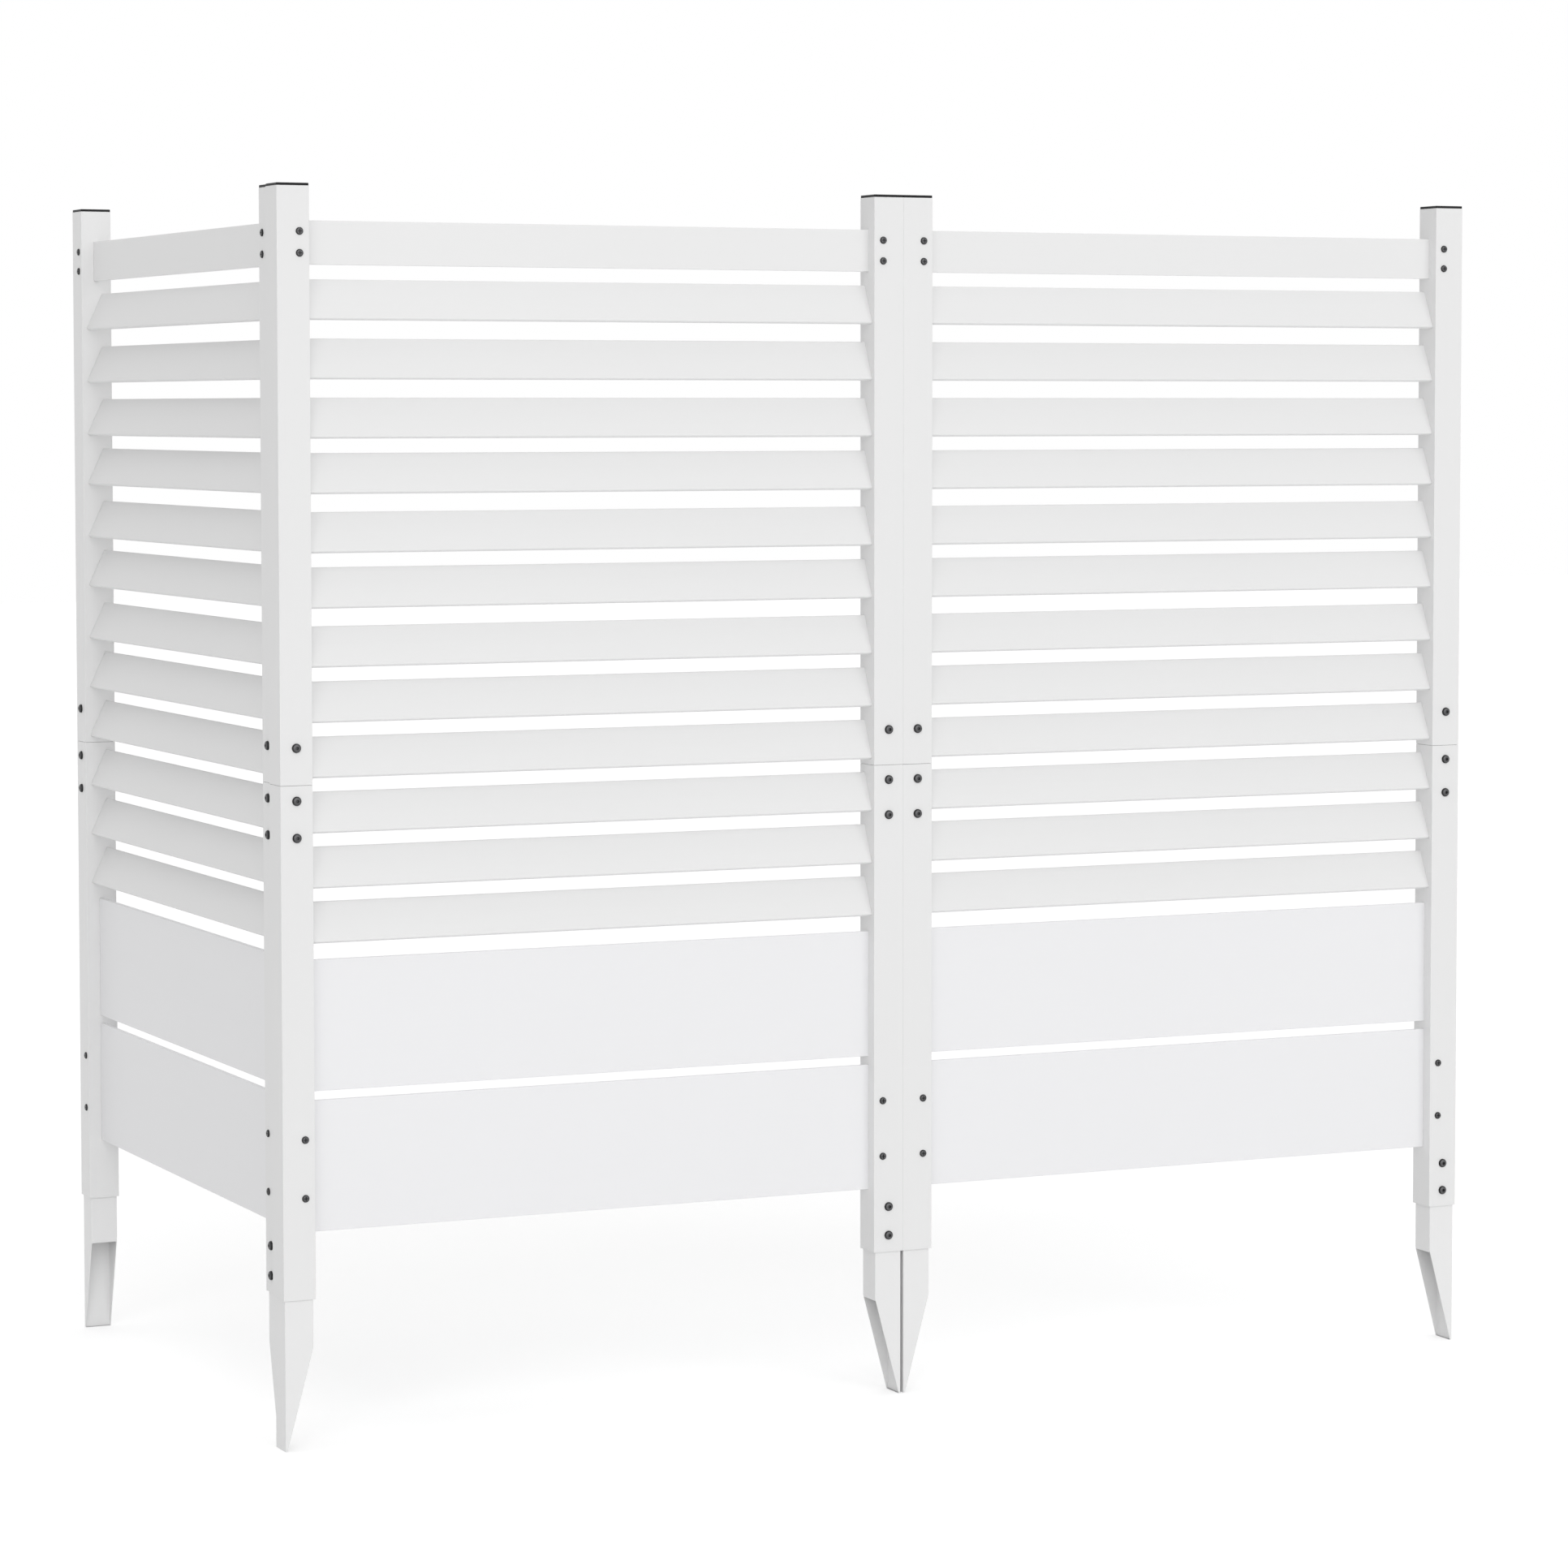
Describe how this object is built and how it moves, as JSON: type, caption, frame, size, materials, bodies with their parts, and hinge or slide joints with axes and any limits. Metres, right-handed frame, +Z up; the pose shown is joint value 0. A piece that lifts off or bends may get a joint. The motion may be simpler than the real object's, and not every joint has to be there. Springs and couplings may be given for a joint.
{
  "type": "air conditioner screen",
  "caption": "Free-standing L-shaped louvred screen: panels of tilted slats, a top rail and plain lower boards between square posts with caps and slanted ground stakes.",
  "frame": {"origin": "on the ground plane under the stake tips, in the middle of the screen's bounding box", "axes": "+X along the front panels towards the right end, +Y from the front towards the sheltered side, +Z up"},
  "size_m": [2.0462, 1.0734, 1.881],
  "materials": {
    "post_white": "satin white",
    "slat_white": "satin white",
    "board_white": "satin white",
    "stake_white": "satin white paint"
  },
  "bodies": {
    "root": {"back_end_post": "post_white", "back_end_stake": "stake_white", "corner_front_post": "post_white", "corner_front_stake": "stake_white", "corner_side_post": "post_white", "corner_side_stake": "stake_white", "left_panel_lower_board": "board_white", "left_panel_slat_01": "slat_white", "left_panel_slat_02": "slat_white", "left_panel_slat_03": "slat_white", "left_panel_slat_04": "slat_white", "left_panel_slat_05": "slat_white", "left_panel_slat_06": "slat_white", "left_panel_slat_07": "slat_white", "left_panel_slat_08": "slat_white", "left_panel_slat_09": "slat_white", "left_panel_slat_10": "slat_white", "left_panel_slat_11": "slat_white", "left_panel_slat_12": "slat_white", "left_panel_top_rail": "slat_white", "left_panel_upper_board": "board_white", "middle_left_post": "post_white", "middle_left_stake": "stake_white", "middle_right_post": "post_white", "middle_right_stake": "stake_white", "right_end_post": "post_white", "right_end_stake": "stake_white", "right_panel_lower_board": "board_white", "right_panel_slat_01": "slat_white", "right_panel_slat_02": "slat_white", "right_panel_slat_03": "slat_white", "right_panel_slat_04": "slat_white", "right_panel_slat_05": "slat_white", "right_panel_slat_06": "slat_white", "right_panel_slat_07": "slat_white", "right_panel_slat_08": "slat_white", "right_panel_slat_09": "slat_white", "right_panel_slat_10": "slat_white", "right_panel_slat_11": "slat_white", "right_panel_slat_12": "slat_white", "right_panel_top_rail": "slat_white", "right_panel_upper_board": "board_white", "side_panel_lower_board": "board_white", "side_panel_slat_01": "slat_white", "side_panel_slat_02": "slat_white", "side_panel_slat_03": "slat_white", "side_panel_slat_04": "slat_white", "side_panel_slat_05": "slat_white", "side_panel_slat_06": "slat_white", "side_panel_slat_07": "slat_white", "side_panel_slat_08": "slat_white", "side_panel_slat_09": "slat_white", "side_panel_slat_10": "slat_white", "side_panel_slat_11": "slat_white", "side_panel_slat_12": "slat_white", "side_panel_top_rail": "slat_white", "side_panel_upper_board": "board_white"}
  },
  "joints": []
}
